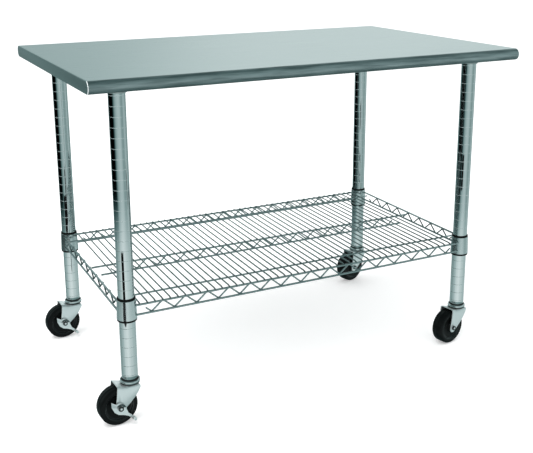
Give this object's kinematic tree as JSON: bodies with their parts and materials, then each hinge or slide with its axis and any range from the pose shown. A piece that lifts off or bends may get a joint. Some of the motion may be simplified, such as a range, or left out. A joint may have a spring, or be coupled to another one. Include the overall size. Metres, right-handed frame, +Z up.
{
  "type": "stainless work table",
  "caption": "Work table with a rolled-edge stainless top, notched tube legs on swivel casters and a wire under-shelf held by tapered sleeves.",
  "frame": {"origin": "on the floor, under the middle of the table top", "axes": "+X along the table's length, to the right seen from the front; +Y to the back; +Z up"},
  "size_m": [1.2192, 0.762, 0.892],
  "materials": {
    "stainless": "satin, brushed along the length",
    "chrome": "bright plated",
    "zinc": "zinc plated, dull",
    "black_plastic": "moulded, matte",
    "tread": "moulded, matte"
  },
  "bodies": {
    "frame": {"worktop_sheet": "stainless", "cross_channel_left": "stainless", "cross_channel_right": "stainless", "center_channel": "stainless", "post_socket_fl": "stainless", "post_socket_fr": "stainless", "post_socket_bl": "stainless", "post_socket_br": "stainless", "set_screw_fl": "zinc", "set_screw_fr": "zinc", "set_screw_bl": "zinc", "set_screw_br": "zinc", "caster_stem_fl": "zinc", "caster_stem_fr": "zinc", "caster_stem_bl": "zinc", "caster_stem_br": "zinc", "bearing_ring_fl": "zinc", "bearing_ring_fr": "zinc", "bearing_ring_bl": "zinc", "bearing_ring_br": "zinc", "post_fl": "chrome", "post_fr": "chrome", "post_bl": "chrome", "post_br": "chrome", "sleeve_outer_fl": "black_plastic", "sleeve_outer_fr": "black_plastic", "sleeve_outer_bl": "black_plastic", "sleeve_outer_br": "black_plastic", "sleeve_inner_fl": "black_plastic", "sleeve_inner_fr": "black_plastic", "sleeve_inner_bl": "black_plastic", "sleeve_inner_br": "black_plastic"},
    "shelf": {"shelf_frame": "chrome", "shelf_deck": "chrome", "snake_front": "chrome", "snake_rear": "chrome", "snake_left": "chrome", "snake_right": "chrome", "snake_mid": "chrome", "mid_rail_top": "chrome", "mid_rail_bottom": "chrome"},
    "caster_front_left": {"fork_fl": "zinc", "axle_bolt_fl": "zinc", "axle_nut_fl": "zinc"},
    "wheel_front_left": {"wheel_fl": "tread"},
    "brake_front_left": {"brake_lever_fl": "zinc"},
    "caster_front_right": {"fork_fr": "zinc", "axle_bolt_fr": "zinc", "axle_nut_fr": "zinc"},
    "wheel_front_right": {"wheel_fr": "tread"},
    "caster_back_left": {"fork_bl": "zinc", "axle_bolt_bl": "zinc", "axle_nut_bl": "zinc"},
    "wheel_back_left": {"wheel_bl": "tread"},
    "brake_back_left": {"brake_lever_bl": "zinc"},
    "caster_back_right": {"fork_br": "zinc", "axle_bolt_br": "zinc", "axle_nut_br": "zinc"},
    "wheel_back_right": {"wheel_br": "tread"}
  },
  "joints": [
    {"name": "shelf_height", "type": "slide", "parent": "frame", "child": "shelf", "axis": [0, 0, 1], "range_m": [0, 0.5]},
    {"name": "swivel_front_left", "type": "hinge", "parent": "frame", "child": "caster_front_left", "pos_m": [-0.5165, -0.282, 0.104], "axis": [0, 0, 1], "continuous": true},
    {"name": "wheel_spin_front_left", "type": "hinge", "parent": "caster_front_left", "child": "wheel_front_left", "pos_m": [-0.55391, -0.28462, 0.0508], "axis": [0.0698, -0.9976, 0], "continuous": true},
    {"name": "brake_front_left", "type": "hinge", "parent": "caster_front_left", "child": "brake_front_left", "pos_m": [-0.55391, -0.28462, 0.0508], "axis": [0.0698, -0.9976, 0], "range_deg": [0, 25]},
    {"name": "swivel_front_right", "type": "hinge", "parent": "frame", "child": "caster_front_right", "pos_m": [0.5165, -0.282, 0.104], "axis": [0, 0, 1], "continuous": true},
    {"name": "wheel_spin_front_right", "type": "hinge", "parent": "caster_front_right", "child": "wheel_front_right", "pos_m": [0.47982, -0.2898, 0.0508], "axis": [0.2079, -0.9781, 0], "continuous": true},
    {"name": "swivel_back_left", "type": "hinge", "parent": "frame", "child": "caster_back_left", "pos_m": [-0.5165, 0.282, 0.104], "axis": [0, 0, 1], "continuous": true},
    {"name": "wheel_spin_back_left", "type": "hinge", "parent": "caster_back_left", "child": "wheel_back_left", "pos_m": [-0.55391, 0.27938, 0.0508], "axis": [0.0698, -0.9976, 0], "continuous": true},
    {"name": "brake_back_left", "type": "hinge", "parent": "caster_back_left", "child": "brake_back_left", "pos_m": [-0.55391, 0.27938, 0.0508], "axis": [0.0698, -0.9976, 0], "range_deg": [0, 25]},
    {"name": "swivel_back_right", "type": "hinge", "parent": "frame", "child": "caster_back_right", "pos_m": [0.5165, 0.282, 0.104], "axis": [0, 0, 1], "continuous": true},
    {"name": "wheel_spin_back_right", "type": "hinge", "parent": "caster_back_right", "child": "wheel_back_right", "pos_m": [0.48045, 0.27166, 0.0508], "axis": [0.2756, -0.9613, 0], "continuous": true}
  ]
}
